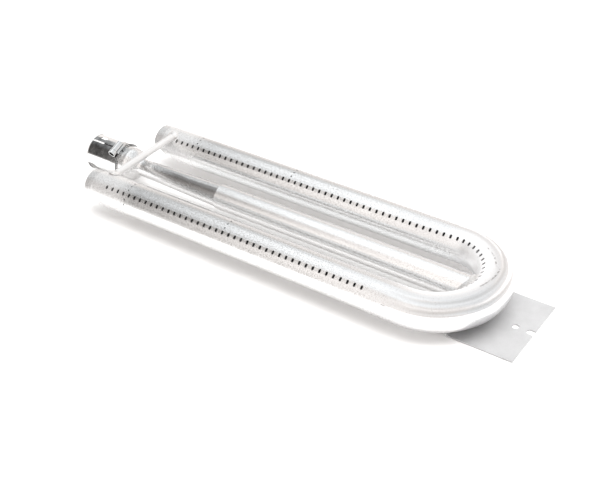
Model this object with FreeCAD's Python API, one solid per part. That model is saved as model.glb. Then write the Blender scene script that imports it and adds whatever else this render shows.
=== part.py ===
import FreeCAD, Part
import math
import os

V = FreeCAD.Vector

# ---- driving dimensions (mm) ----------------------------------------------------------
# Frame: origin at the centre of the venturi's inlet mouth, +X towards the bend, +Z up.

# U-shaped burner tube
TUBE_R = 19.05            # outside radius, 1-1/2 in tube
TUBE_WALL = 1.5
LEG_Z = 2.0               # height of the legs' axes above the mixer axis
BEND_R = 58.3             # bend radius, also half the distance between the legs
LEG_END_X = 33.6          # closed ends of the legs
BEND_X = 429.0            # where the bend starts
LIP_LEN = 10.4            # flat part of the crimped end
LIP_DROP = 0.9            # the lip is pressed this much smaller than the tube
CRIMP_LEN = 28.0          # run-out of the crimp along the leg's underside
PRESSED = 3.2             # thickness of the two walls pressed together

# burner ports
PORT_W = 2.5              # slotted ports, longer round the tube than along it
PORT_LEN = 4.4
PORT_PITCH = 7.9375       # 5/16 in
PORT_ANGLE = 42.0         # either side of the top of the tube
PORT_X = 65.0             # first port of every row
OUTER_PORTS = 42          # outer rows stop short of the bend
INNER_PORTS = 46          # inner rows run up to the bend and carry on round it
DRAWN_FROM = 40           # inner ports past this one are drawn in by the bend
DRAWN_STEP = 0.25         # mm for each port
BEND_PORTS = 22
BEND_PORT_ANGLE = 38.5    # the row creeps towards the top round the bend
BEND_PORT_SWEEP = 90.6    # degrees either side of the bend's middle
CARRY_R = 0.9             # small carry-over ports that link the two rows
CARRY_STEP = 17.0         # degrees
CARRY_X = (PORT_X + 3.5 * PORT_PITCH, PORT_X + 20.0 * PORT_PITCH)

# venturi: bell mouth, throat and diffuser, pressed into the mixer tube
SHEET = 1.3
BELL_R = 19.05
BELL_LEN = 36.4
SHOULDER_LEN = 19.0
THROAT_R = 10.0
THROAT_LEN = 6.5
DIFFUSER_END_X = 163.5
DIFFUSER_R = 12.85
VENTURI_END_X = 176.0

# mixer tube
MIXER_R = 14.3
MIXER_WALL = 1.4
MIXER_START_X = 165.5
WELD_LEN = 7.0            # weld where the mixer tube meets the bend, along the tube
WELD_H = 2.6              # and up the bend

# tie rod between the legs
ROD_R = 3.97              # 5/16 in rod
ROD_X = 57.0
ROD_Z = LEG_Z + 16.2
ROD_HALF = 47.0           # half its length

# mounting plate
PLATE_T = 1.5
PLATE_W = 94.0
PLATE_TOP_Z = LEG_Z - 24.8
PLATE_OUT_X = 537.3
PLATE_STEP_X = 471.0      # where the plate steps up under the bend
PLATE_IN_X = 452.0
PLATE_HOLE_R = 3.5
PLATE_HOLE_IN = 19.6      # hole centre in from the outer edge
NOTCH_W = 7.0
NOTCH_D = 8.0

# air shutter sleeve
SLEEVE_R = 20.3
SLEEVE_T = 0.9
SLEEVE_X0 = -17.0
SLEEVE_X1 = 29.0
SPLIT_ANGLE = 21.0        # the split, from the top towards -Y
SPLIT_GAP = 1.2
LIP_H = 1.1               # raised lip along one edge of the split
SLOT_LEN = 9.5
SLOT_W = 3.2

# worm-drive clamp
BAND_X = 24.0
BAND_W = 8.0
BAND_T = 0.7
TAIL_END = -9.0           # free end of the band, degrees from the top towards -Y
CLAMP_ANGLE = 22.0        # middle of the housing, from the top towards -Y
HOUSING_LEN = 13.0
HOUSING_W = 9.6
WORM_R = 2.7
WORM_GAP = 0.3
HEAD_R = 4.2              # collar round the screw head
HEAD_BORE = 3.3
HEAD_DEPTH = 2.2
HEAD_LEN = 3.6

X_AXIS = V(1, 0, 0)
Y_AXIS = V(0, 1, 0)
Z_AXIS = V(0, 0, 1)
ORIGIN = V(0, 0, 0)


def turned(shape, degrees, centre=ORIGIN, axis=X_AXIS):
    """A copy of the shape turned about an axis."""
    copy = shape.copy()
    copy.rotate(centre, axis, degrees)
    return copy


def moved(shape, x, y, z):
    """A copy of the shape shifted by x, y, z."""
    copy = shape.copy()
    copy.translate(V(x, y, z))
    return copy


def prism_y(points, width):
    """A prism with an outline of (x, z) points, centred on Y = 0."""
    corners = [V(x, -width / 2, z) for x, z in points]
    return Part.Face(Part.makePolygon(corners + corners[:1])).extrude(V(0, width, 0))


def u_bar(radius):
    """Solid U of round bar along the burner's centreline."""
    length = BEND_X - LEG_END_X
    legs = []
    for side in (-1, 1):
        start = V(LEG_END_X, side * BEND_R, LEG_Z)
        legs.append(Part.makeCylinder(radius, length, start, X_AXIS))
    centre = V(BEND_X, -BEND_R, LEG_Z)
    disc = Part.Face(Part.Wire(Part.makeCircle(radius, centre, X_AXIS)))
    bend = disc.revolve(V(BEND_X, 0, 0), Z_AXIS, 180)
    return legs[0].fuse([bend, legs[1]])


def crimp_tool(punch_r, floor_up, side):
    """What the end crimp removes under one leg: a rising punch and everything below a ramp."""
    lip_x = LEG_END_X + LIP_LEN
    run = CRIMP_LEN
    drop = TUBE_R + punch_r
    y = side * BEND_R
    disc = Part.Face(Part.Wire(Part.makeCircle(punch_r, V(lip_x, y, LEG_Z), X_AXIS)))
    rising = disc.extrude(V(run, 0, -drop))
    flat = disc.extrude(V(-LIP_LEN - 5, 0, 0))
    low = LEG_Z - TUBE_R
    ramp = prism_y([
        (LEG_END_X - 5, low - 30),
        (LEG_END_X - 5, LEG_Z - 1 + floor_up),
        (lip_x - 2, LEG_Z - 1 + floor_up),
        (lip_x + run + 4, low + floor_up),
        (lip_x + run + 4, low - 30),
    ], 3 * TUBE_R)
    return [rising, flat, moved(ramp, 0, y, 0)]


def leg_point(x, angle, side, lift):
    """A point on the leg's outside, and the way out of the wall there.

    The angle is from the top, positive towards +Y.
    """
    a = math.radians(angle)
    out = V(0, math.sin(a), math.cos(a))
    return V(x, side * BEND_R, LEG_Z) + out * (TUBE_R + lift), out


def carry_port(x, angle, side):
    """A small round hole drilled square to the leg's wall."""
    base, out = leg_point(x, angle, side, -4)
    return Part.makeCylinder(CARRY_R, 8, base, out)


def slot_port(centre, out, along):
    """A slotted port cut square to the wall; along is the row's direction."""
    across = out.cross(along)
    half_w = along * (PORT_W / 2)
    straight = across * ((PORT_LEN - PORT_W) / 2)
    tip = across * (PORT_LEN / 2)
    a, b = centre - half_w - straight, centre - half_w + straight
    c, d = centre + half_w + straight, centre + half_w - straight
    outline = Part.Wire([
        Part.makeLine(a, b),
        Part.Arc(b, centre + tip, c).toShape(),
        Part.makeLine(c, d),
        Part.Arc(d, centre - tip, a).toShape(),
    ])
    return Part.Face(outline).extrude(out * 8)


def leg_port(x, angle, side):
    """One slotted port in a leg."""
    base, out = leg_point(x, angle, side, -4)
    return slot_port(base, out, X_AXIS)


def bend_ports():
    """The inner row's slotted ports round the bend."""
    a = math.radians(BEND_PORT_ANGLE)
    step = 2 * BEND_PORT_SWEEP / (BEND_PORTS - 1)
    ports = []
    for i in range(BEND_PORTS):
        b = math.radians(step * i - BEND_PORT_SWEEP)
        out = V(-math.sin(a) * math.cos(b), -math.sin(a) * math.sin(b), math.cos(a))
        along = V(-math.sin(b), math.cos(b), 0)
        centre = V(BEND_X + BEND_R * math.cos(b), BEND_R * math.sin(b), LEG_Z)
        ports.append(slot_port(centre + out * (TUBE_R - 4), out, along))
    return ports


def lip_ring(side):
    """What pressing the lip takes off the outside of one leg's end."""
    start = V(LEG_END_X - 5, side * BEND_R, LEG_Z)
    small = TUBE_R - LIP_DROP
    flat = LIP_LEN + 4.0
    ring = Part.makeCylinder(TUBE_R + 3, flat + 2.5, start, X_AXIS)
    core = Part.makeCylinder(small, flat, start, X_AXIS)
    cone = Part.makeCone(small, TUBE_R + 0.3, 2.5, start + V(flat, 0, 0), X_AXIS)
    return ring.cut([core, cone])


def burner_tube():
    """U tube with closed crescent ends, two rows of ports and the carry-over ports."""
    outside = u_bar(TUBE_R)
    inside = u_bar(TUBE_R - TUBE_WALL)
    for side in (-1, 1):
        outside = outside.cut(crimp_tool(TUBE_R - PRESSED, 0, side) + [lip_ring(side)])
        inside = inside.cut(crimp_tool(TUBE_R - TUBE_WALL + 0.2, 1.9, side))
    shell = outside.cut(inside)

    holes = bend_ports()
    for side in (-1, 1):
        for i in range(INNER_PORTS):
            drawn = max(0, i - DRAWN_FROM)
            x = PORT_X + i * PORT_PITCH - drawn * DRAWN_STEP
            angle = PORT_ANGLE - drawn * (PORT_ANGLE - BEND_PORT_ANGLE) / (INNER_PORTS - DRAWN_FROM)
            holes.append(leg_port(x, -side * angle, side))
        for i in range(OUTER_PORTS):
            holes.append(leg_port(PORT_X + i * PORT_PITCH, side * PORT_ANGLE, side))
        for x in CARRY_X:
            for k in (-1.5, -0.5, 0.5, 1.5):
                holes.append(carry_port(x, k * CARRY_STEP, side))
    for k in (3.5, 4.5):
        holes.append(carry_port(CARRY_X[0], -k * CARRY_STEP, -1))
    shell = shell.cut(holes)

    # opening in the bend's inner wall where the mixer tube enters
    mouth = Part.makeCylinder(MIXER_R, BEND_R - 10, V(BEND_X + 10, 0, 0), X_AXIS)
    return shell.cut(mouth)


def revolved(points_and_arcs):
    """Solid of revolution about the X axis from a closed list of edges in the XZ plane."""
    return Part.Face(Part.Wire(points_and_arcs)).revolve(ORIGIN, X_AXIS, 360)


def line(a, b):
    """Edge between two (x, r) points."""
    return Part.makeLine(V(a[0], 0, a[1]), V(b[0], 0, b[1]))


def arc(a, mid, b):
    """Arc edge through three (x, r) points."""
    return Part.Arc(V(a[0], 0, a[1]), V(mid[0], 0, mid[1]), V(b[0], 0, b[1])).toShape()


def venturi_outline(inset):
    """Edges of the venturi's wall from the mouth to its far end, set in by the sheet."""
    drop = BELL_R - THROAT_R
    sweep = 2 * math.atan(drop / SHOULDER_LEN)
    bend = SHOULDER_LEN / (2 * math.sin(sweep))
    x1 = BELL_LEN
    x2 = BELL_LEN + SHOULDER_LEN
    x3 = x2 + THROAT_LEN
    outer_r = bend - inset
    inner_r = bend + inset
    top = (x1, BELL_R - bend)
    low = (x2, THROAT_R + bend)

    def on_top(t):
        return (top[0] + outer_r * math.sin(t), top[1] + outer_r * math.cos(t))

    def on_low(t):
        return (low[0] - inner_r * math.sin(t), low[1] - inner_r * math.cos(t))

    throat = THROAT_R - inset
    wide = DIFFUSER_R - inset
    return [
        line((0, BELL_R - inset), on_top(0)),
        arc(on_top(0), on_top(sweep / 2), on_top(sweep)),
        arc(on_low(sweep), on_low(sweep / 2), on_low(0)),
        line((x2, throat), (x3, throat)),
        line((x3, throat), (DIFFUSER_END_X, wide)),
        line((DIFFUSER_END_X, wide), (VENTURI_END_X, wide)),
    ]


def venturi():
    """Bell mouth, throat and diffuser formed from one sheet."""
    outer = venturi_outline(0)
    inner = venturi_outline(SHEET)
    mouth = line((0, BELL_R - SHEET), (0, BELL_R))
    end = line((VENTURI_END_X, DIFFUSER_R), (VENTURI_END_X, DIFFUSER_R - SHEET))
    return revolved([mouth] + outer + [end] + inner[::-1])


def mixer_tube():
    """Straight tube from the diffuser to the bend, saddle-cut to the bend's outside."""
    length = BEND_X + BEND_R - MIXER_START_X
    start = V(MIXER_START_X, 0, 0)
    tube = Part.makeCylinder(MIXER_R, length, start, X_AXIS)
    tube = tube.cut(Part.makeCylinder(MIXER_R - MIXER_WALL, length, start, X_AXIS))
    return tube.cut(u_bar(TUBE_R))


def bend_face_x(y, z):
    """Where a line along X at (y, z) meets the inside of the bend."""
    reach = BEND_R - math.sqrt(TUBE_R ** 2 - (z - LEG_Z) ** 2)
    return BEND_X + math.sqrt(reach ** 2 - y ** 2)


def mixer_weld():
    """Weld round the mixer tube where it meets the bend, clear of the ports."""
    sections = []
    count = 36
    for k in range(count):
        a = 2 * math.pi * k / count
        s, c = math.sin(a), math.cos(a)
        inner = MIXER_R - 0.4
        outer = MIXER_R + WELD_H
        foot_x = bend_face_x(MIXER_R * s, MIXER_R * c)
        top_x = bend_face_x(outer * s, outer * c)
        corners = [
            V(foot_x - WELD_LEN, inner * s, inner * c),
            V(top_x + 0.4, outer * s, outer * c),
            V(foot_x + 1.5, inner * s, inner * c),
        ]
        sections.append(Part.makePolygon(corners + corners[:1]))
    bead = Part.makeLoft(sections, True, True, True)
    core = Part.makeCylinder(MIXER_R, BEND_R, V(BEND_X, 0, 0), X_AXIS)
    bead = bead.cut([u_bar(TUBE_R), core])
    bead = bead.cut(bend_ports())
    return max(bead.Solids, key=lambda solid: solid.Volume)


def tie_rod():
    """Round rod across the leg ends, its ends resting on the legs' inner shoulders."""
    rod = Part.makeCylinder(ROD_R, 2 * ROD_HALF, V(ROD_X, -ROD_HALF, ROD_Z), Y_AXIS)
    return rod.cut(u_bar(TUBE_R))


def tie_rod_welds():
    """One weld bead over each end of the tie rod."""
    rod = Part.makeCylinder(ROD_R, 2 * ROD_HALF, V(ROD_X, -ROD_HALF, ROD_Z), Y_AXIS)
    beads = []
    for side in (-1, 1):
        ball = Part.makeSphere(5.0)
        squash = FreeCAD.Matrix()
        squash.scale(V(1.35, 1.2, 0.5))
        ball = turned(ball.transformGeometry(squash), side * 26)
        ball = moved(ball, ROD_X - 0.5, side * 49.5, ROD_Z + 2.0)
        beads.append(ball.cut([rod, u_bar(TUBE_R)]))
    return Part.makeCompound(beads)


def mounting_plate():
    """Flat plate with a hole and an open notch, stepped up under the bend."""
    up = LEG_Z - TUBE_R
    t = PLATE_T
    top = PLATE_TOP_Z
    rise = up - top
    plate = prism_y([
        (PLATE_IN_X, up),
        (PLATE_STEP_X - rise, up),
        (PLATE_STEP_X, top),
        (PLATE_OUT_X, top),
        (PLATE_OUT_X, top - t),
        (PLATE_STEP_X - 0.4 * t, top - t),
        (PLATE_STEP_X - rise - 0.4 * t, up - t),
        (PLATE_IN_X, up - t),
    ], PLATE_W)
    below = top - 3 * t
    tall = 4 * t
    hole = Part.makeCylinder(PLATE_HOLE_R, tall, V(PLATE_OUT_X - PLATE_HOLE_IN, 0, below))
    end_x = PLATE_OUT_X - NOTCH_D + NOTCH_W / 2
    notch_end = Part.makeCylinder(NOTCH_W / 2, tall, V(end_x, 0, below))
    notch = Part.makeBox(NOTCH_D, NOTCH_W, tall, V(end_x, -NOTCH_W / 2, below))
    return plate.cut([hole, notch_end, notch])


def plate_welds():
    """Two fillet beads on the plate's inner edge, against the bend's underside."""
    beads = []
    for side in (-1, 1):
        bead = Part.makeCylinder(3.2, 18, V(PLATE_IN_X, side * 47 - 9, LEG_Z - TUBE_R), Y_AXIS)
        bead = bead.cut([u_bar(TUBE_R), mounting_plate()])
        beads.append(max(bead.Solids, key=lambda s: s.Volume))
    return Part.makeCompound(beads)


def air_shutter():
    """Split sheet sleeve with a raised lip along the split and a small slot on top."""
    length = SLEEVE_X1 - SLEEVE_X0
    start = V(SLEEVE_X0, 0, 0)
    inner = SLEEVE_R - SLEEVE_T
    sleeve = Part.makeCylinder(SLEEVE_R, length, start, X_AXIS)
    # rolled rim at the open end
    rim = Part.makeTorus(SLEEVE_R - 0.15, 0.75, V(SLEEVE_X0 + 0.75, 0, 0), X_AXIS)
    sleeve = sleeve.fuse(rim)
    sleeve = sleeve.cut(Part.makeCylinder(inner, length + 4, V(SLEEVE_X0 - 2, 0, 0), X_AXIS))
    gap = Part.makeBox(length + 4, SPLIT_GAP, 4, V(SLEEVE_X0 - 2, -SPLIT_GAP / 2, inner - 1))
    sleeve = sleeve.cut(turned(gap, SPLIT_ANGLE))
    lip_len = BAND_X - BAND_W / 2 - 2 - (SLEEVE_X0 + 3)
    lip = Part.makeBox(lip_len, SLEEVE_T, LIP_H + 0.4,
                       V(SLEEVE_X0 + 3, SPLIT_GAP / 2, SLEEVE_R - 0.4))
    sleeve = sleeve.fuse(turned(lip, SPLIT_ANGLE))
    slot_x = SLEEVE_X0 + 9.0
    slot = Part.makeBox(SLOT_LEN - SLOT_W, SLOT_W, 6, V(slot_x, -SLOT_W / 2, inner - 2))
    slot_ends = []
    for x in (slot_x, slot_x + SLOT_LEN - SLOT_W):
        slot_ends.append(Part.makeCylinder(SLOT_W / 2, 6, V(x, 0, inner - 2)))
    return sleeve.cut([slot] + slot_ends)


def clamp_seat():
    """Height above the mixer axis of the clamp's worm, and of the band's outside."""
    band_top = SLEEVE_R + 0.3 + BAND_T
    return band_top + 0.5 + WORM_R, band_top


def clamp_band():
    """Thin band round the sleeve's inner end; its tail runs under the housing."""
    inside = SLEEVE_R + 0.3
    start = V(BAND_X - BAND_W / 2, 0, 0)
    band = Part.makeCylinder(inside + BAND_T, BAND_W, start, X_AXIS)
    band = band.cut(Part.makeCylinder(inside, BAND_W, start, X_AXIS))
    teeth = []
    for k in range(-4, 5):
        box = Part.makeBox(BAND_W * 0.55, 0.5, 0.3,
                           V(BAND_X - BAND_W * 0.275, -0.25, inside + BAND_T - 0.3))
        teeth.append(turned(box, CLAMP_ANGLE + k * 9.0))
    # free end, lying on the band past the housing
    tail_start = CLAMP_ANGLE - math.degrees(math.atan2(HOUSING_LEN / 2 + 0.6, inside))
    ring = Part.makeCylinder(inside + 2 * BAND_T, BAND_W - 1, start + V(0.5, 0, 0), X_AXIS)
    ring = ring.cut(Part.makeCylinder(inside + BAND_T / 2, BAND_W, start, X_AXIS))
    wedge = Part.Face(Part.makePolygon([
        start,
        start + turned(Part.Vertex(V(0, 0, 2 * SLEEVE_R)), TAIL_END).Point,
        start + turned(Part.Vertex(V(0, 0, 2 * SLEEVE_R)), tail_start).Point,
        start,
    ])).extrude(V(BAND_W, 0, 0))
    return band.fuse(ring.common(wedge)).cut(teeth)


def clamp_housing():
    """Arched housing that holds the worm against the band."""
    worm_z, seat = clamp_seat()
    top_r = WORM_R + WORM_GAP + 0.9
    half = HOUSING_W / 2
    block = Part.makeBox(HOUSING_W, HOUSING_LEN, worm_z - seat + 0.6,
                         V(BAND_X - half, -HOUSING_LEN / 2, seat - 0.6))
    arch = Part.makeCylinder(top_r, HOUSING_LEN, V(BAND_X, -HOUSING_LEN / 2, worm_z), Y_AXIS)
    housing = block.fuse(arch)
    bore = Part.makeCylinder(WORM_R + WORM_GAP, HOUSING_LEN - 1.2,
                             V(BAND_X, -HOUSING_LEN / 2, worm_z), Y_AXIS)
    bore_end = Part.makeCylinder(1.5, HOUSING_LEN + 2,
                                 V(BAND_X, -HOUSING_LEN / 2 - 1, worm_z), Y_AXIS)
    band_space = Part.makeCylinder(seat + 0.05, HOUSING_W + 4, V(BAND_X - half - 2, 0, 0), X_AXIS)
    housing = housing.cut([bore, bore_end])
    return turned(housing, CLAMP_ANGLE).cut(band_space)


def clamp_screw():
    """Worm with a slotted head sunk in a round collar."""
    worm_z = clamp_seat()[0]
    front = -HOUSING_LEN / 2
    face = front - 1.1 - HEAD_LEN
    body = Part.makeCylinder(WORM_R, HOUSING_LEN - 1.8, V(BAND_X, front, worm_z), Y_AXIS)
    tail = Part.makeCylinder(1.2, HOUSING_LEN + 0.6, V(BAND_X, front, worm_z), Y_AXIS)
    neck = Part.makeCylinder(WORM_R, 0.7, V(BAND_X, front - 0.6, worm_z), Y_AXIS)
    collar = Part.makeCylinder(HEAD_R, HEAD_LEN + 0.8, V(BAND_X, face, worm_z), Y_AXIS)
    recess = Part.makeCylinder(HEAD_BORE, HEAD_DEPTH, V(BAND_X, face, worm_z), Y_AXIS)
    slot = Part.makeBox(2 * HEAD_BORE - 0.2, 1.2, 1.0,
                        V(BAND_X - HEAD_BORE + 0.1, face + HEAD_DEPTH, worm_z - 0.5))
    groove = []
    for y in (1.6, 3.4, 5.2, 7.0, 8.8):
        ring = Part.makeTorus(WORM_R, 0.45, V(BAND_X, front + y, worm_z), Y_AXIS)
        groove.append(ring)
    screw = body.fuse([tail, neck, collar]).cut([recess, slot] + groove)
    return turned(screw, CLAMP_ANGLE)


os.makedirs("parts", exist_ok=True)
PIECES = {
    "burner_tube": burner_tube,
    "venturi": venturi,
    "mixer_tube": mixer_tube,
    "mixer_weld": mixer_weld,
    "tie_rod": tie_rod,
    "tie_rod_welds": tie_rod_welds,
    "mounting_plate": mounting_plate,
    "plate_welds": plate_welds,
    "air_shutter": air_shutter,
    "clamp_band": clamp_band,
    "clamp_housing": clamp_housing,
    "clamp_screw": clamp_screw,
}
for name, build in PIECES.items():
    build().exportStep("parts/%s.step" % name)
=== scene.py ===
import bpy
import bmesh
import math
from mathutils import Matrix, Vector, noise


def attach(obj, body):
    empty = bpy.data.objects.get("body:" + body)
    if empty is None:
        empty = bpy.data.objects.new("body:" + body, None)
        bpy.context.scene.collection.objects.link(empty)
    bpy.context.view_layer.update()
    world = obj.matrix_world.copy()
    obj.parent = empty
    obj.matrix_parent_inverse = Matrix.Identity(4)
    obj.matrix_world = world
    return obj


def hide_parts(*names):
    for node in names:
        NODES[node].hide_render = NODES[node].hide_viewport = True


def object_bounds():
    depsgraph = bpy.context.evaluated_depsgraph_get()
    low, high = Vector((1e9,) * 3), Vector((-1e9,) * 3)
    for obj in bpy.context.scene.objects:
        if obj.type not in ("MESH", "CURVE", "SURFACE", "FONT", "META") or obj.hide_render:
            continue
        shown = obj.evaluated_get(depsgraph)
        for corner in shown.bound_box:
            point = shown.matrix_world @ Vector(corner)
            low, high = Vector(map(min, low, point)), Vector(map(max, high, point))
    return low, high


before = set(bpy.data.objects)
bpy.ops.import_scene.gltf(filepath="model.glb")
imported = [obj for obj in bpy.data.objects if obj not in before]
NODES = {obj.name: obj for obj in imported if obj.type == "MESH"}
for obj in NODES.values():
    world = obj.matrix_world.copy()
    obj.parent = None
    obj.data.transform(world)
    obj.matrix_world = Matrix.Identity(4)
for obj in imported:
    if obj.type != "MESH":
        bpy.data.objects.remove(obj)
CAD_BOX = [list(corner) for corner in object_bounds()]

# ---- sizes, in metres, as in the CAD ----------------------------------------------------
LEG_Z = 0.002                   # the U tube's centreline lies this far above the mixer's axis
BEND_R = 0.0583                 # the bend's centreline, and the legs' distance from the axis
BEND_X = 0.429                  # where the legs end and the bend starts
TUBE_R = 0.01905
MIXER_R = 0.0143
ROD_R = 0.00397
ROD_X = 0.057
ROD_Z = LEG_Z + 0.0162
PLATE_Z = LEG_Z - TUBE_R        # the U tube's lowest line, where the plate is welded
FLOOR_Z = CAD_BOX[0][2]

# ---- tints --------------------------------------------------------------------------------
PLAIN = (1.0, 1.0, 1.0)
WARM = (1.0, 0.955, 0.925)
COOL = (0.975, 0.99, 1.0)


def grey(value, tint=PLAIN):
    return tuple(value * part for part in tint)


# ---- node helpers ------------------------------------------------------------------------
EVEN = (1, 1, 1)                # object coordinates with no stretch


class Graph:
    """Short helper for building a material's node tree. Most methods return an output socket."""

    def __init__(self, name):
        self.mat = bpy.data.materials.new(name)
        self.mat.use_nodes = True
        self.tree = self.mat.node_tree
        self.tree.nodes.clear()
        self.out = self.tree.nodes.new("ShaderNodeOutputMaterial")
        self.coord = self.tree.nodes.new("ShaderNodeTexCoord")

    def node(self, kind, links=None, **props):
        made = self.tree.nodes.new(kind)
        for key, value in props.items():
            setattr(made, key, value)
        for key, value in (links or {}).items():
            socket = made.inputs[key]
            if isinstance(value, bpy.types.NodeSocket):
                self.tree.links.new(value, socket)
            else:
                socket.default_value = value
        return made

    def places(self):
        """The object coordinates, by the letter of their axis."""
        return self.node("ShaderNodeSeparateXYZ", {0: self.coord.outputs["Object"]}).outputs

    def noise(self, scale, detail, rough, stretch=EVEN):
        """Noise in object coordinates, whose values mostly lie between 0.3 and 0.7."""
        links = {"Vector": self.coord.outputs["Object"], "Scale": stretch}
        vector = self.node("ShaderNodeMapping", links).outputs["Vector"]
        links = {"Vector": vector, "Scale": scale, "Detail": detail, "Roughness": rough}
        return self.node("ShaderNodeTexNoise", links).outputs["Fac"]

    def ramp(self, fac, stops):
        made = self.node("ShaderNodeValToRGB", {"Fac": fac})
        elements = made.color_ramp.elements
        while len(elements) < len(stops):
            elements.new(0.5)
        for element, (at, colour) in zip(elements, stops):
            element.position = at
            element.color = (*colour, 1.0)
        return made.outputs["Color"]

    def levels(self, value, low, high, to_low, to_high):
        links = {"Value": value, "From Min": low, "From Max": high,
                 "To Min": to_low, "To Max": to_high}
        return self.node("ShaderNodeMapRange", links).outputs["Result"]

    def rise(self, value, start, end, least=0.0):
        """Rises from the least value to one as the input goes from start to end."""
        return self.levels(value, start, end, least, 1.0)

    def fall(self, value, start, end):
        """Falls from one to nothing as the input goes from start to end."""
        return self.levels(value, start, end, 1.0, 0.0)

    def band(self, value, fade_in, fade_out, least=0.0):
        """One between the two fades, nothing past the second and the least before the first."""
        return self.times(self.fall(value, *fade_out), self.rise(value, *fade_in, least))

    def spread(self, value, low, high):
        """Spreads the middle range of a noise from low to high."""
        return self.levels(value, 0.3, 0.7, low, high)

    def mix(self, fac, first, second, blend="MIX"):
        made = self.node("ShaderNodeMix", data_type="RGBA", blend_type=blend)
        for socket, value in zip((made.inputs[0], made.inputs[6], made.inputs[7]),
                                 (fac, first, second)):
            if isinstance(value, bpy.types.NodeSocket):
                self.tree.links.new(value, socket)
            else:
                socket.default_value = (*value, 1.0) if isinstance(value, tuple) else value
        return made.outputs[2]

    def math(self, op, first, second=0.0):
        return self.node("ShaderNodeMath", {0: first, 1: second}, operation=op).outputs[0]

    def plus(self, first, second):
        return self.math("ADD", first, second)

    def minus(self, first, second):
        return self.math("SUBTRACT", first, second)

    def times(self, first, second):
        return self.math("MULTIPLY", first, second)

    def squared(self, value):
        return self.math("POWER", value, 2.0)

    def bump(self, height, strength, distance, normal=None):
        links = {"Height": height, "Strength": strength, "Distance": distance}
        if normal is not None:
            links["Normal"] = normal
        return self.node("ShaderNodeBump", links).outputs["Normal"]

    def surface(self, **sockets):
        """Ends the tree with the one shader, and returns the material."""
        names = {"base": "Base Color", "metal": "Metallic", "rough": "Roughness",
                 "normal": "Normal", "spec": "Specular IOR Level", "glow": "Emission Color",
                 "glow_strength": "Emission Strength"}
        links = {names[key]: value for key, value in sockets.items()}
        shader = self.node("ShaderNodeBsdfPrincipled", links)
        self.tree.links.new(shader.outputs[0], self.out.inputs["Surface"])
        return self.mat


# ---- materials ----------------------------------------------------------------------------
# Angles round a tube are in radians from its top. On the mixer and venturi they are positive
# towards the far side, and on the U tube towards its outside. Strengths are parts of one.

SPANGLE = 760.0                 # noise scales of the aluminised skin, in features per metre
GRAIN = 2600.0
PATCHES = 24.0
LOW_BAND = (-2.25, -1.95)       # angles over which the painted shade low on a tube's side fades in

# places along the X axis, in metres, that a change of skin is spread over
DARK_PATCH_START = (0.082, 0.108)    # the venturi's darker brown patch fades in along its cone
CRIMP_END = (0.078, 0.106)      # the pressed ends' pale skin fades out
CRIMP_LIP = (0.0425, 0.0445)    # the very end of the legs is darker
INNER_START = (0.08, 0.11)      # the painted shade on the legs' inner sides fades in past the pressed ends
WORKED_START = (0.34, 0.45)     # the skin grows duller towards the bend
RINGS_START = (0.41, 0.45)      # the forming rings fade in

LOW_SHADE = grey(0.40, (1.0, 0.975, 0.96))
CONE_DARK_PATCH = grey(0.24, (1.0, 0.955, 0.92))
CRIMP_DARK = grey(0.70, (1.0, 0.99, 0.985))
CRIMP_PALE = grey(0.98)
BENT_SKIN = grey(0.90, (0.99, 0.99, 1.0))
SCUFFED = grey(0.42, (1.0, 0.97, 0.94))
RING_SHADE = grey(0.55, (1.0, 0.98, 0.96))
OUTER_SHADE = grey(0.45, (1.0, 0.97, 0.95))
INNER_SHADE = grey(0.42, (0.95, 0.985, 1.0))
CREVICE_SHADE = grey(0.08)
DARK_REFLECTION_TONE = grey(0.16, (1.0, 0.96, 0.93))


def spangle(g, base, rough, speckle):
    """Tone, roughness and normal of a hot-dip coat, then its fine noise and its patchy one."""
    fine = g.noise(SPANGLE, 3.0, 0.7)
    grain = g.noise(GRAIN, 1.0, 0.5, (0.6, 1, 1))
    patch = g.noise(PATCHES, 3.0, 0.5)
    dark = grey(base * (1 - 0.22 * speckle), (1.0, 0.985, 0.975))
    pale = grey(min(1.0, base * (1 + 0.15 * speckle)), (0.985, 0.995, 1.0))
    tone = g.ramp(fine, [(0.32, dark), (0.50, grey(base)), (0.70, pale)])
    broad = g.spread(patch, rough - 0.03, rough + 0.04)
    roughness = g.plus(broad, g.spread(fine, -0.03, 0.04))
    height = g.plus(fine, g.times(grain, 0.5))
    normal = g.bump(height, 0.24 * speckle, 0.00010)
    return tone, roughness, normal, fine, patch


def straight_tube(name, base, rough, speckle=1.0, dark_patch=False):
    """Hot-dip aluminised steel with a fine spangle, and painted shade in a band low on its near
    side.

    With the flag set, the skin is also darker and browner in a patch along the near side of the
    venturi's cone.
    """
    g = Graph(name)
    place = g.places()
    tone, roughness, normal, _, patch = spangle(g, base, rough, speckle)
    around = g.math("ARCTAN2", place["Y"], place["Z"])
    # painted shade in a band low on the tube's near side
    shade = g.band(around, LOW_BAND, (-1.75, -1.45), 0.35)
    tone = g.mix(g.times(shade, 0.62), tone, LOW_SHADE)
    if dark_patch:
        # darker and browner in a patch along the near side of the venturi's cone
        ragged = g.plus(around, g.spread(patch, -0.08, 0.08))
        deep = g.times(g.rise(ragged, -0.22, -0.38), g.rise(ragged, -1.30, -0.62, 0.45))
        deep = g.times(deep, g.rise(ragged, -1.50, -1.32))
        deep = g.times(deep, g.rise(place["X"], *DARK_PATCH_START))
        tone = g.mix(g.times(deep, 0.72), tone, CONE_DARK_PATCH)
    return g.surface(base=tone, metal=1.0, rough=roughness, normal=normal)


def tube_angles(g, place):
    """Angle round the U tube, outwards from its top, and angle round the bend from its middle."""
    ahead = g.math("MAXIMUM", g.minus(place["X"], BEND_X), 0.0)
    reach = g.math("POWER", g.plus(g.squared(ahead), g.squared(place["Y"])), 0.5)
    around = g.math("ARCTAN2", g.minus(reach, BEND_R), g.minus(place["Z"], LEG_Z))
    bend = g.math("ARCTAN2", place["Y"], ahead)
    return around, bend


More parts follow.
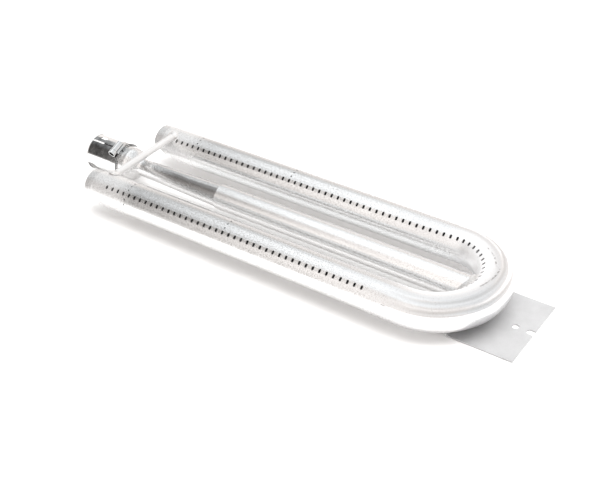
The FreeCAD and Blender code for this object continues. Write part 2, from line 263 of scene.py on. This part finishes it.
# Each scratch is a line on the bend: its slope, its angle round the tube in the bend's
# middle, and the angles round the bend where it starts and ends.
SCRATCHES = ((-0.29, 0.10, 0.36, 0.95), (0.40, 0.07, -0.28, 0.33))
SCRATCH_FADE = 0.03             # angle over which its ends fade
SCRATCH_WIDTH = (0.022, 0.050)  # angles from its middle over which a scratch fades out
# Each knock is at a place along the near leg and an angle round it.
KNOCKS = ((0.416, 1.17), (0.374, 1.95))
KNOCK_LENGTH = 0.0045
KNOCK_ANGLE = 0.035


def scuffs(g, place, around, bend, patch):
    """Two long scratches on top of the bend and two short knocks on the near leg."""
    marks = []
    near_leg = g.fall(place["Y"], -0.05, -0.04)
    for slope, middle, start, end in SCRATCHES:
        line = g.plus(g.times(bend, slope), middle)
        wobble = g.times(g.minus(patch, 0.5), 0.10)
        off = g.math("ABSOLUTE", g.minus(g.minus(around, line), wobble))
        within = g.band(bend, (start, start + SCRATCH_FADE), (end - SCRATCH_FADE, end))
        marks.append(g.times(g.fall(off, *SCRATCH_WIDTH), within))
    for x, angle in KNOCKS:
        along = g.math("DIVIDE", g.minus(place["X"], x), KNOCK_LENGTH)
        across = g.math("DIVIDE", g.minus(around, angle), KNOCK_ANGLE)
        away = g.plus(g.squared(along), g.squared(across))
        marks.append(g.times(g.fall(away, 0.5, 1.2), near_leg))
    scuff = marks[0]
    for mark in marks[1:]:
        scuff = g.math("MAXIMUM", scuff, mark)
    broken = g.rise(g.noise(330.0, 2.0, 0.6), 0.44, 0.54)
    return g.times(scuff, broken)


RING_RATE = 13.3                # phase of the forming rings per radian round the tube
RING_PHASE = 1.09


def worked_tube(name, base, rough, speckle):
    """Aluminised steel of the U tube, paler and matt on the crimped ends.

    It is duller round the bend, where the forming tools have left rings along the tube.
    """
    g = Graph(name)
    place = g.places()
    tone, roughness, normal, fine, patch = spangle(g, base, rough, speckle)
    around, bend = tube_angles(g, place)

    crimped = g.fall(g.plus(place["X"], g.spread(patch, -0.006, 0.006)), *CRIMP_END)
    bent = g.rise(place["X"], *WORKED_START)
    pale = g.ramp(fine, [(0.36, CRIMP_DARK), (0.62, CRIMP_PALE)])
    lip = g.rise(place["X"], *CRIMP_LIP, 0.82)
    pale = g.mix(1.0, pale, g.ramp(lip, [(0.0, grey(0.0)), (1.0, grey(1.0))]), "MULTIPLY")
    colour = g.mix(g.times(crimped, 0.85), tone, pale)
    colour = g.mix(g.times(bent, 0.7), colour, BENT_SKIN)
    roughness = g.plus(roughness, g.times(crimped, 0.16))
    roughness = g.plus(roughness, g.times(bent, 0.14))

    scuff = scuffs(g, place, around, bend, patch)
    colour = g.mix(g.times(scuff, 0.75), colour, SCUFFED)

    wander = g.times(g.minus(patch, 0.5), 0.16)
    rings = g.math("SINE", g.minus(g.times(g.plus(around, wander), RING_RATE), RING_PHASE))
    outside = g.times(g.rise(around, 0.10, 0.32), g.fall(around, 1.15, 1.5))
    on_bend = g.rise(place["X"], *RINGS_START)
    ringed = g.times(outside, on_bend)
    # painted shade in the forming rings' grooves; the rings themselves are a bump
    groove = g.times(g.fall(rings, -1.0, -0.1), ringed)
    colour = g.mix(g.times(groove, 0.42), colour, RING_SHADE)
    normal = g.bump(g.minus(g.times(rings, ringed), scuff), 0.8, 0.0006, normal)

    inner = g.times(g.fall(around, -0.45, 0.10), on_bend)
    metal = g.minus(g.levels(crimped, 0.0, 1.0, 1.0, 0.85), g.times(inner, 0.55))
    # painted shade on the tube's outer side, from its middle downwards
    outer_shade = g.levels(around, 1.35, 1.75, 0.0, 0.24)
    colour = g.mix(outer_shade, colour, OUTER_SHADE)
    # painted shade low on the legs' inner sides, where they face the mixer
    facing_mixer = g.band(around, LOW_BAND, (-1.70, -1.45), 0.3)
    facing_mixer = g.times(facing_mixer, g.rise(place["X"], *INNER_START))
    colour = g.mix(g.times(facing_mixer, 0.50), colour, INNER_SHADE)
    return g.surface(base=colour, metal=metal, rough=roughness, normal=normal)


def plated(name, base=0.90, rough=0.03, crevice=0.0015, with_dark_reflection=False):
    """Bright zinc plating, nearly a mirror, with painted shade in its crevices and faint waves.

    With the flag set, it has a painted dark reflection low on its near side, tapering away from
    the mouth.
    """
    g = Graph(name)
    wave = g.noise(55.0, 2.0, 0.5)
    scratch = g.noise(4.0, 3.0, 0.7, (30, 900, 900))
    mottle = g.noise(420.0, 3.0, 0.6)
    tone = g.ramp(scratch, [(0.35, grey(base * 0.93)), (0.6, grey(base, (0.99, 1.0, 1.0)))])
    # painted shade in the crevices, from ambient occlusion
    openness = g.node("ShaderNodeAmbientOcclusion", {"Distance": crevice}).outputs["AO"]
    tone = g.mix(g.levels(openness, 0.40, 0.92, 0.95, 0.0), tone, CREVICE_SHADE)
    if with_dark_reflection:
        # painted dark reflection low on the sleeve's near side
        place = g.places()
        around = g.math("ARCTAN2", place["Y"], place["Z"])
        edge = g.levels(place["X"], -0.007, 0.016, -1.80, -2.38)
        edge = g.plus(edge, g.spread(wave, -0.08, 0.08))
        dark_reflection = g.levels(g.minus(around, edge), -0.05, 0.02, 0.9, 0.0)
        dark_reflection = g.times(dark_reflection, g.fall(place["Y"], -0.004, 0.0))
        tone = g.mix(dark_reflection, tone, DARK_REFLECTION_TONE)
    roughness = g.levels(mottle, 0.35, 0.75, rough, rough + 0.09)
    normal = g.bump(wave, 0.30, 0.0005)
    return g.surface(base=tone, metal=1.0, rough=roughness, normal=normal)


def mill_plate(name):
    """Flat galvanised sheet with a matt blue-grey skin."""
    g = Graph(name)
    blue = (0.98, 0.985, 1.0)
    cloud = g.noise(60.0, 5.0, 0.6)
    fine = g.noise(1400.0, 2.0, 0.6)
    mixed = g.plus(g.times(cloud, 0.5), g.times(fine, 0.5))
    tone = g.ramp(mixed, [(0.38, grey(0.45, blue)), (0.62, grey(0.52, blue))])
    roughness = g.spread(fine, 0.52, 0.62)
    normal = g.bump(fine, 0.12, 0.0001)
    return g.surface(base=tone, metal=0.35, rough=roughness, normal=normal)


def weld_metal(name):
    """Bare weld, slightly brown in its hollows."""
    g = Graph(name)
    ripple = g.noise(420.0, 3.0, 0.6)
    tone = g.ramp(ripple, [(0.35, grey(0.78, (1.0, 0.98, 0.96))), (0.65, grey(0.92))])
    roughness = g.spread(ripple, 0.26, 0.40)
    normal = g.bump(ripple, 0.35, 0.0004)
    return g.surface(base=tone, metal=0.85, rough=roughness, normal=normal)


def rod_steel(name):
    """Drawn bar, with fine lines along its length."""
    g = Graph(name)
    draw = g.noise(1.5, 3.0, 0.6, (900, 12, 900))
    fine = g.noise(1600.0, 2.0, 0.6)
    tone = g.ramp(draw, [(0.3, grey(0.78, (1.0, 0.99, 0.98))), (0.7, grey(0.88))])
    roughness = g.spread(fine, 0.34, 0.44)
    normal = g.bump(g.plus(draw, fine), 0.12, 0.0001)
    return g.surface(base=tone, metal=0.8, rough=roughness, normal=normal)


MATERIALS = {
    "burner_tube": worked_tube("aluminised tube", base=0.82, rough=0.17, speckle=1.35),
    "venturi": straight_tube("venturi skin", base=0.86, rough=0.22, speckle=1.1, dark_patch=True),
    "mixer_tube": straight_tube("mixer tube skin", base=0.91, rough=0.22),
    "mixer_weld": weld_metal("mixer weld skin"),
    "tie_rod": rod_steel("drawn rod"),
    "tie_rod_welds": weld_metal("rod weld skin"),
    "mounting_plate": mill_plate("plate skin"),
    "plate_welds": weld_metal("plate weld skin"),
    "air_shutter": plated("bright sleeve", with_dark_reflection=True),
    "clamp_band": plated("bright band", base=0.84, rough=0.08, crevice=0.003),
    "clamp_housing": plated("bright housing", base=0.82, rough=0.12, crevice=0.004),
    "clamp_screw": plated("bright screw", base=0.86, rough=0.10, crevice=0.006),
}
for node, material in MATERIALS.items():
    mesh = NODES[node].data
    mesh.materials.clear()
    mesh.materials.append(material)

# ---- weld beads with rippled faces --------------------------------------------------------
BEAD_DEPTH = 0.00045            # deepest cut of a ripple
BEAD_EDGE = 0.0008              # longest edge left in a bead's mesh
EDGE_ROUNDS = 4                 # rounds of halving the long edges
BARE_REACH = 0.001              # the cuts fade to nothing over this distance to a tube
BEAD_STEP = 0.008               # length along X that takes the place of a radian on short beads


def clear_of_tubes(p):
    """Distance from a point on a weld to the nearest tube, rod or plate that it joins."""
    reach = math.hypot(max(p.x - BEND_X, 0.0), p.y)
    u_tube = math.hypot(reach - BEND_R, p.z - LEG_Z) - TUBE_R
    mixer = math.hypot(p.y, p.z) - MIXER_R
    rod = math.hypot(p.x - ROD_X, p.z - ROD_Z) - ROD_R
    plate = abs(p.z - PLATE_Z)
    return max(0.0, min(abs(u_tube), abs(mixer), abs(rod), plate))


def halve_long_edges(bm):
    """Gives a bead the vertices that its ripples need."""
    for _ in range(EDGE_ROUNDS):
        long_edges = [edge for edge in bm.edges if edge.calc_length() > BEAD_EDGE]
        if not long_edges:
            break
        bmesh.ops.subdivide_edges(bm, edges=long_edges, cuts=1)
        bmesh.ops.triangulate(bm, faces=bm.faces)


def ripple_depth(p, ridges, ring):
    """How far a bead is cut in at a point: regular ridges, made uneven by noise."""
    along = math.atan2(p.y, p.z) if ring else (p.x - ROD_X) / BEAD_STEP
    wave = 0.5 + 0.5 * math.cos(ridges * along + 2.0 * noise.noise(p * 250.0))
    lump = 0.5 + 0.5 * noise.noise(p * 600.0)
    return BEAD_DEPTH * (0.6 * wave + 0.4 * lump) * min(1.0, clear_of_tubes(p) / BARE_REACH)


def rippled_weld(node, ridges, ring=False):
    """A weld bead with the ripples left as the puddle moved on; only ever cut into the bead.

    On a ring the ripples follow each other round the X axis, and on a short bead along it.
    """
    source = NODES[node]
    mesh = source.data.copy()
    mesh.name = node + "_beads"
    bm = bmesh.new()
    bm.from_mesh(mesh)
    bmesh.ops.remove_doubles(bm, verts=bm.verts, dist=1e-6)
    bmesh.ops.triangulate(bm, faces=bm.faces)
    halve_long_edges(bm)
    bm.normal_update()
    shifts = []
    for vert in bm.verts:
        depth = ripple_depth(source.matrix_world @ vert.co, ridges, ring)
        shifts.append(vert.normal * -depth)
    for vert, shift in zip(bm.verts, shifts):
        vert.co += shift
    bm.to_mesh(mesh)
    bm.free()
    if mesh.attributes.get("custom_normal"):
        mesh.attributes.remove(mesh.attributes["custom_normal"])
    mesh.shade_smooth()
    mesh.materials.clear()
    mesh.materials.append(MATERIALS[node])
    piece = bpy.data.objects.new(node + "_beads", mesh)
    piece.matrix_world = source.matrix_world
    bpy.context.scene.collection.objects.link(piece)
    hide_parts(node)
    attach(piece, "burner")


rippled_weld("mixer_weld", 34.0, ring=True)
rippled_weld("tie_rod_welds", 9.0)
rippled_weld("plate_welds", 9.0)

# ---- floor, light and camera --------------------------------------------------------------
FLOOR_GAP = 0.0003              # keeps the floor clear of the part's underside
LIGHT_AT = Vector((0.62, 0.26, 1.46))
LIGHT_TOWARDS = Vector((0.25, -0.02, 0.0))
LIGHT_SIZE = (1.3, 2.2)
LIGHT_WATTS = 41.0


def floor():
    """A white sweep, lit a little from within."""
    bm = bmesh.new()
    bmesh.ops.create_grid(bm, x_segments=2, y_segments=2, size=6.0)
    mesh = bpy.data.meshes.new("studio_floor")
    bm.to_mesh(mesh)
    bm.free()
    obj = bpy.data.objects.new("studio_floor", mesh)
    bpy.context.scene.collection.objects.link(obj)
    obj.location = (0.25, 0.0, FLOOR_Z - FLOOR_GAP)
    g = Graph("white sweep")
    soft = g.noise(3.0, 2.0, 0.5)
    tone = g.ramp(soft, [(0.3, grey(0.84)), (0.7, grey(0.86))])
    backlit = g.ramp(soft, [(0.3, grey(0.98, WARM)), (0.7, grey(1.0, WARM))])
    sweep = g.surface(base=tone, rough=0.9, spec=0.0, glow=backlit, glow_strength=0.11)
    mesh.materials.append(sweep)


def overhead():
    """A soft light that lights the floor and the matt skins but makes no highlight."""
    data = bpy.data.lights.new("overhead", "AREA")
    data.shape = "RECTANGLE"
    data.size, data.size_y = LIGHT_SIZE
    data.energy = LIGHT_WATTS
    data.color = (1.0, 0.99, 0.98)
    obj = bpy.data.objects.new("overhead", data)
    bpy.context.scene.collection.objects.link(obj)
    obj.location = LIGHT_AT
    obj.rotation_euler = (LIGHT_TOWARDS - LIGHT_AT).to_track_quat("-Z", "Y").to_euler()
    obj.visible_glossy = False


# Brightness of the studio by direction. Each row is one angle round the burner's long axis,
# in degrees from straight up and positive towards the far side. Its columns run from
# directions well towards the closed ends of the legs to directions towards the bend.
COLUMNS = (-0.76, -0.66, -0.62, -0.60, -0.50, -0.41, -0.20, 0.30)
STUDIO = [
    (-180, (1.00, 1.00, 1.00, 1.00, 1.20, 1.25, 1.25, 1.25), WARM),
    (-112, (1.00, 1.10, 1.00, 1.05, 1.20, 1.25, 1.25, 1.10), WARM),
    (-96, (0.90, 0.90, 0.60, 0.80, 1.05, 1.20, 1.20, 1.05), WARM),
    (-82, (0.55, 0.05, 0.20, 0.60, 0.92, 1.10, 1.10, 1.00), WARM),
    (-62, (0.60, 0.05, 0.18, 0.66, 1.15, 1.25, 1.15, 0.95), WARM),
    (-50, (0.60, 0.05, 0.16, 0.64, 1.10, 1.25, 1.05, 0.85), WARM),
    (-38, (0.60, 0.04, 0.14, 0.38, 0.60, 1.25, 1.00, 0.80), WARM),
    (-26, (0.60, 0.04, 0.14, 0.38, 0.62, 1.25, 1.10, 0.95), WARM),
    (-14, (0.65, 0.05, 0.26, 0.70, 1.05, 1.35, 1.20, 1.00), COOL),
    (4, (0.60, 0.05, 0.50, 0.74, 1.30, 1.40, 1.10, 0.85), COOL),
    (26, (0.70, 0.12, 0.60, 0.74, 1.15, 1.35, 1.05, 0.85), COOL),
    (42, (0.60, 0.10, 0.66, 0.62, 0.78, 1.10, 1.00, 0.90), COOL),
    (56, (1.20, 1.20, 0.80, 0.60, 0.72, 0.92, 0.95, 1.00), WARM),
    (72, (1.20, 1.20, 0.95, 0.88, 0.95, 1.00, 1.00, 1.05), WARM),
    (92, (1.00, 1.00, 1.00, 1.00, 1.02, 1.05, 1.10, 1.10), WARM),
    (125, (0.90, 0.90, 0.90, 0.90, 0.95, 1.05, 1.10, 1.10), WARM),
    (180, (1.00, 1.00, 1.00, 1.00, 1.20, 1.25, 1.25, 1.25), WARM),
]
WORLD_STRENGTH = 2.0            # the ramps hold no more than one, so they are divided by this


def surroundings():
    """The studio's light, from the table above."""
    world = bpy.data.worlds.new("studio")
    bpy.context.scene.world = world
    world.use_nodes = True
    tree = world.node_tree
    tree.nodes.clear()
    link = tree.links.new

    def node(kind, **props):
        made = tree.nodes.new(kind)
        for key, value in props.items():
            setattr(made, key, value)
        return made

    coord = node("ShaderNodeTexCoord")
    split = node("ShaderNodeSeparateXYZ")
    angle = node("ShaderNodeMath", operation="ARCTAN2")
    turn = node("ShaderNodeMapRange")
    turn.inputs["From Min"].default_value = -math.pi
    turn.inputs["From Max"].default_value = math.pi
    link(coord.outputs["Generated"], split.inputs[0])
    link(split.outputs["Y"], angle.inputs[0])
    link(split.outputs["Z"], angle.inputs[1])
    link(angle.outputs[0], turn.inputs["Value"])
    total = None
    for k, at in enumerate(COLUMNS):
        ramp = node("ShaderNodeValToRGB")
        elements = ramp.color_ramp.elements
        while len(elements) < len(STUDIO):
            elements.new(0.5)
        for element, (degrees, values, tint) in zip(elements, STUDIO):
            element.position = (degrees + 180.0) / 360.0
            element.color = (*grey(values[k] / WORLD_STRENGTH, tint), 1.0)
        link(turn.outputs["Result"], ramp.inputs["Fac"])
        colour = ramp.outputs["Color"]
        if total is None:
            total = colour
            continue
        along = node("ShaderNodeMapRange", interpolation_type="SMOOTHSTEP")
        along.inputs["From Min"].default_value = COLUMNS[k - 1]
        along.inputs["From Max"].default_value = at
        link(split.outputs["X"], along.inputs["Value"])
        blend = node("ShaderNodeMix", data_type="RGBA")
        link(along.outputs["Result"], blend.inputs[0])
        link(total, blend.inputs[6])
        link(colour, blend.inputs[7])
        total = blend.outputs[2]
    back = node("ShaderNodeBackground")
    out = node("ShaderNodeOutputWorld")
    back.inputs["Strength"].default_value = WORLD_STRENGTH
    link(total, back.inputs["Color"])
    link(back.outputs[0], out.inputs["Surface"])


# The camera stands where the reference picture was taken from, in a 600 x 480 frame.
CAMERA_AT = (0.82225, -0.75915, 0.64784)
AZIMUTH = math.radians(36.169)
ELEVATION = math.radians(35.069)
ROLL = math.radians(-1.997)


def camera():
    data = bpy.data.cameras.new("camera")
    data.sensor_width = 36.0
    data.lens = 65.616
    data.shift_x = 0.00265
    data.shift_y = -0.00845
    back = Vector((math.sin(AZIMUTH) * math.cos(ELEVATION),
                   -math.cos(AZIMUTH) * math.cos(ELEVATION), math.sin(ELEVATION)))
    level = Vector((math.cos(AZIMUTH), math.sin(AZIMUTH), 0.0))
    upright = back.cross(level)
    right = math.cos(ROLL) * level + math.sin(ROLL) * upright
    up = -math.sin(ROLL) * level + math.cos(ROLL) * upright
    rows = [(right[i], up[i], back[i], CAMERA_AT[i]) for i in range(3)]
    obj = bpy.data.objects.new("camera", data)
    bpy.context.scene.collection.objects.link(obj)
    obj.matrix_world = Matrix((*rows, (0, 0, 0, 1)))
    bpy.context.scene.camera = obj


surroundings()
floor()
overhead()
camera()
bpy.context.scene.view_settings.view_transform = "Standard"
bpy.context.scene.view_settings.look = "None"
